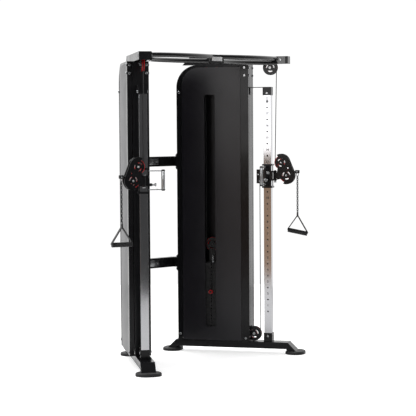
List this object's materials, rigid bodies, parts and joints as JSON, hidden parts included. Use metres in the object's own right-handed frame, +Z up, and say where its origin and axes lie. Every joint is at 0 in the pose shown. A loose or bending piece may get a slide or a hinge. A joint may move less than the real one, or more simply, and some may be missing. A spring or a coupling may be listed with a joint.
{
  "type": "functional trainer",
  "caption": "Dual-stack cable functional trainer with angled towers, sliding carriages on chrome columns, swivel pulley arms, strap handles and a pull-up bar.",
  "frame": {"origin": "centre of the bounding box on the floor", "axes": "+Z up, -Y towards the user side where the columns and arms stand, +X to the right-hand tower as drawn (the tower whose arm points forward)"},
  "size_m": [1.6302, 0.9446, 2.15],
  "materials": {
    "black_coat": "semi-gloss powder coat",
    "shroud": "satin powder coat on bent sheet",
    "chrome": "polished chrome plating",
    "zinc": "bright zinc plating",
    "plate_iron": "black painted cast iron",
    "red_plastic": "red moulded nylon",
    "cable": "black plastic coated wire rope",
    "coil": "moulded curly lanyard",
    "foot_rubber": "moulded black rubber",
    "stopper_rubber": "moulded black rubber",
    "webbing": "woven black webbing with a ribbed rubber grip"
  },
  "bodies": {
    "frame": {"base_beams": "black_coat", "foot_pads": "foot_rubber", "rear_uprights": "black_coat", "columns": "chrome", "column_clamps": "black_coat", "guide_rods": "chrome", "frame_brackets": "black_coat", "frame_bolts": "zinc", "frame_cables": "cable", "resting_plates": "plate_iron", "crossbars": "black_coat", "pull_up_bar": "black_coat", "front_upright_r": "black_coat", "inner_shroud_r": "shroud", "outer_shroud_r": "shroud", "top_beam_r": "black_coat", "front_upright_l": "black_coat", "inner_shroud_l": "shroud", "outer_shroud_l": "shroud", "top_beam_l": "black_coat"},
    "stack_r": {"weight_stack_r": "plate_iron", "stack_cable_r": "cable", "lanyard_r": "coil"},
    "stack_pulley_r": {"stack_pulley_r": "red_plastic"},
    "selector_pin_r": {"selector_pin_r": "red_plastic"},
    "rear_idler_r": {"rear_idler_r": "red_plastic"},
    "mid_idler_r": {"mid_idler_r": "red_plastic"},
    "front_idler_r": {"front_idler_r": "red_plastic"},
    "top_pulley_r": {"top_pulley_r": "red_plastic"},
    "base_pulley_r": {"base_pulley_r": "red_plastic"},
    "carriage_r": {"carriage_r": "black_coat", "front_cable_r": "cable", "rear_cable_r": "cable"},
    "pop_pin_r": {"pop_pin_r": "zinc"},
    "arm_r": {"swivel_arm_r": "black_coat"},
    "upper_pulley_r": {"upper_pulley_r": "red_plastic"},
    "lower_pulley_r": {"lower_pulley_r": "red_plastic"},
    "cable_end_r": {"cable_end_r": "stopper_rubber"},
    "handle_r": {"handle_chain_r": "zinc", "strap_handle_r": "webbing"},
    "stack_l": {"weight_stack_l": "plate_iron", "stack_cable_l": "cable", "lanyard_l": "coil"},
    "stack_pulley_l": {"stack_pulley_l": "red_plastic"},
    "selector_pin_l": {"selector_pin_l": "red_plastic"},
    "rear_idler_l": {"rear_idler_l": "red_plastic"},
    "mid_idler_l": {"mid_idler_l": "red_plastic"},
    "front_idler_l": {"front_idler_l": "red_plastic"},
    "top_pulley_l": {"top_pulley_l": "red_plastic"},
    "base_pulley_l": {"base_pulley_l": "red_plastic"},
    "carriage_l": {"carriage_l": "black_coat", "front_cable_l": "cable", "rear_cable_l": "cable"},
    "pop_pin_l": {"pop_pin_l": "zinc"},
    "arm_l": {"swivel_arm_l": "black_coat"},
    "upper_pulley_l": {"upper_pulley_l": "red_plastic"},
    "lower_pulley_l": {"lower_pulley_l": "red_plastic"},
    "cable_end_l": {"cable_end_l": "stopper_rubber"},
    "handle_l": {"handle_chain_l": "zinc", "strap_handle_l": "webbing"}
  },
  "joints": [
    {"name": "stack_lift_r", "type": "slide", "parent": "frame", "child": "stack_r", "axis": [0, 0, 1], "range_m": [0, 1], "deforming": ["stack_cable_r"]},
    {"name": "stack_pulley_spin_r", "type": "hinge", "parent": "stack_r", "child": "stack_pulley_r", "pos_m": [0.39572, 0.13362, 0.79], "axis": [0.8406, 0.5417, 0], "continuous": true},
    {"name": "selector_pull_r", "type": "slide", "parent": "stack_r", "child": "selector_pin_r", "axis": [-0.8406, -0.5417, 0], "range_m": [0, 0.06]},
    {"name": "rear_idler_spin_r", "type": "hinge", "parent": "frame", "child": "rear_idler_r", "pos_m": [0.39572, 0.13362, 2.07], "axis": [0.8406, 0.5417, 0], "continuous": true},
    {"name": "mid_idler_spin_r", "type": "hinge", "parent": "frame", "child": "mid_idler_r", "pos_m": [0.44447, 0.05797, 1.99], "axis": [0.8406, 0.5417, 0], "continuous": true},
    {"name": "front_idler_spin_r", "type": "hinge", "parent": "frame", "child": "front_idler_r", "pos_m": [0.51652, -0.05382, 1.99], "axis": [0.8406, 0.5417, 0], "continuous": true},
    {"name": "top_pulley_spin_r", "type": "hinge", "parent": "frame", "child": "top_pulley_r", "pos_m": [0.63407, -0.23622, 2.07], "axis": [0.8406, 0.5417, 0], "continuous": true},
    {"name": "base_pulley_spin_r", "type": "hinge", "parent": "frame", "child": "base_pulley_r", "pos_m": [0.56527, -0.12947, 0.139], "axis": [0.8406, 0.5417, 0], "continuous": true},
    {"name": "carriage_slide_r", "type": "slide", "parent": "frame", "child": "carriage_r", "axis": [0, 0, 1], "range_m": [-0.783, 0.435], "deforming": ["front_cable_r", "rear_cable_r"]},
    {"name": "pop_pin_pull_r", "type": "slide", "parent": "carriage_r", "child": "pop_pin_r", "axis": [-0.8406, -0.5417, 0], "range_m": [0, 0.012], "stiffness_N_per_m": 800},
    {"name": "arm_swivel_r", "type": "hinge", "parent": "carriage_r", "child": "arm_r", "pos_m": [0.6514, -0.26312, 1.32], "axis": [0, 0, 1], "range_deg": [-85, 85]},
    {"name": "upper_pulley_spin_r", "type": "hinge", "parent": "arm_r", "child": "upper_pulley_r", "pos_m": [0.67632, -0.30179, 1.386], "axis": [0.8406, 0.5417, 0], "continuous": true},
    {"name": "lower_pulley_spin_r", "type": "hinge", "parent": "arm_r", "child": "lower_pulley_r", "pos_m": [0.6969, -0.33373, 1.293], "axis": [0.8406, 0.5417, 0], "continuous": true},
    {"name": "handle_pull_r", "type": "slide", "parent": "arm_r", "child": "cable_end_r", "axis": [0.5417, -0.8406, 0], "range_m": [0, 2]},
    {"name": "handle_swing_r", "type": "hinge", "parent": "cable_end_r", "child": "handle_r", "pos_m": [0.74024, -0.40098, 1.32], "axis": [-0.8406, -0.5417, 0], "range_deg": [-3, 95]},
    {"name": "stack_lift_l", "type": "slide", "parent": "frame", "child": "stack_l", "axis": [0, 0, 1], "range_m": [0, 1], "deforming": ["stack_cable_l"]},
    {"name": "stack_pulley_spin_l", "type": "hinge", "parent": "stack_l", "child": "stack_pulley_l", "pos_m": [-0.32725, 0.13362, 0.79], "axis": [0.8406, -0.5417, 0], "continuous": true},
    {"name": "selector_pull_l", "type": "slide", "parent": "stack_l", "child": "selector_pin_l", "axis": [0.8406, -0.5417, 0], "range_m": [0, 0.06]},
    {"name": "rear_idler_spin_l", "type": "hinge", "parent": "frame", "child": "rear_idler_l", "pos_m": [-0.32725, 0.13362, 2.07], "axis": [0.8406, -0.5417, 0], "continuous": true},
    {"name": "mid_idler_spin_l", "type": "hinge", "parent": "frame", "child": "mid_idler_l", "pos_m": [-0.376, 0.05797, 1.99], "axis": [0.8406, -0.5417, 0], "continuous": true},
    {"name": "front_idler_spin_l", "type": "hinge", "parent": "frame", "child": "front_idler_l", "pos_m": [-0.44805, -0.05382, 1.99], "axis": [0.8406, -0.5417, 0], "continuous": true},
    {"name": "top_pulley_spin_l", "type": "hinge", "parent": "frame", "child": "top_pulley_l", "pos_m": [-0.5656, -0.23622, 2.07], "axis": [0.8406, -0.5417, 0], "continuous": true},
    {"name": "base_pulley_spin_l", "type": "hinge", "parent": "frame", "child": "base_pulley_l", "pos_m": [-0.4968, -0.12947, 0.139], "axis": [0.8406, -0.5417, 0], "continuous": true},
    {"name": "carriage_slide_l", "type": "slide", "parent": "frame", "child": "carriage_l", "axis": [0, 0, 1], "range_m": [-0.783, 0.435], "deforming": ["front_cable_l", "rear_cable_l"]},
    {"name": "pop_pin_pull_l", "type": "slide", "parent": "carriage_l", "child": "pop_pin_l", "axis": [0.8406, -0.5417, 0], "range_m": [0, 0.012], "stiffness_N_per_m": 800},
    {"name": "arm_swivel_l", "type": "hinge", "parent": "carriage_l", "child": "arm_l", "pos_m": [-0.58294, -0.26312, 1.32], "axis": [0, 0, -1], "range_deg": [-160, 10]},
    {"name": "upper_pulley_spin_l", "type": "hinge", "parent": "arm_l", "child": "upper_pulley_l", "pos_m": [-0.62673, -0.24906, 1.386], "axis": [-0.3057, -0.9521, 0], "continuous": true},
    {"name": "lower_pulley_spin_l", "type": "hinge", "parent": "arm_l", "child": "lower_pulley_l", "pos_m": [-0.66292, -0.23744, 1.293], "axis": [-0.3057, -0.9521, 0], "continuous": true},
    {"name": "handle_pull_l", "type": "slide", "parent": "arm_l", "child": "cable_end_l", "axis": [-0.9521, 0.3057, 0], "range_m": [0, 2]},
    {"name": "handle_swing_l", "type": "hinge", "parent": "cable_end_l", "child": "handle_l", "pos_m": [-0.73908, -0.21299, 1.32], "axis": [0.3057, 0.9521, 0], "range_deg": [-3, 95]}
  ],
  "couplings": [
    {"joint": "handle_pull_r", "follows": "stack_lift_r", "ratio": 2},
    {"joint": "stack_pulley_spin_r", "follows": "stack_lift_r", "rad_per_m": 22.222},
    {"joint": "rear_idler_spin_r", "follows": "stack_lift_r", "rad_per_m": 44.444},
    {"joint": "top_pulley_spin_r", "follows": "stack_lift_r", "rad_per_m": 44.444},
    {"joint": "upper_pulley_spin_r", "follows": "stack_lift_r", "rad_per_m": -44.444},
    {"joint": "lower_pulley_spin_r", "follows": "stack_lift_r", "rad_per_m": 44.444},
    {"joint": "base_pulley_spin_r", "follows": "carriage_slide_r", "rad_per_m": -22.222},
    {"joint": "mid_idler_spin_r", "follows": "carriage_slide_r", "rad_per_m": 22.222},
    {"joint": "front_idler_spin_r", "follows": "carriage_slide_r", "rad_per_m": 22.222},
    {"joint": "handle_pull_l", "follows": "stack_lift_l", "ratio": 2},
    {"joint": "stack_pulley_spin_l", "follows": "stack_lift_l", "rad_per_m": 22.222},
    {"joint": "rear_idler_spin_l", "follows": "stack_lift_l", "rad_per_m": 44.444},
    {"joint": "top_pulley_spin_l", "follows": "stack_lift_l", "rad_per_m": 44.444},
    {"joint": "upper_pulley_spin_l", "follows": "stack_lift_l", "rad_per_m": -44.444},
    {"joint": "lower_pulley_spin_l", "follows": "stack_lift_l", "rad_per_m": 44.444},
    {"joint": "base_pulley_spin_l", "follows": "carriage_slide_l", "rad_per_m": -22.222},
    {"joint": "mid_idler_spin_l", "follows": "carriage_slide_l", "rad_per_m": 22.222},
    {"joint": "front_idler_spin_l", "follows": "carriage_slide_l", "rad_per_m": 22.222}
  ]
}
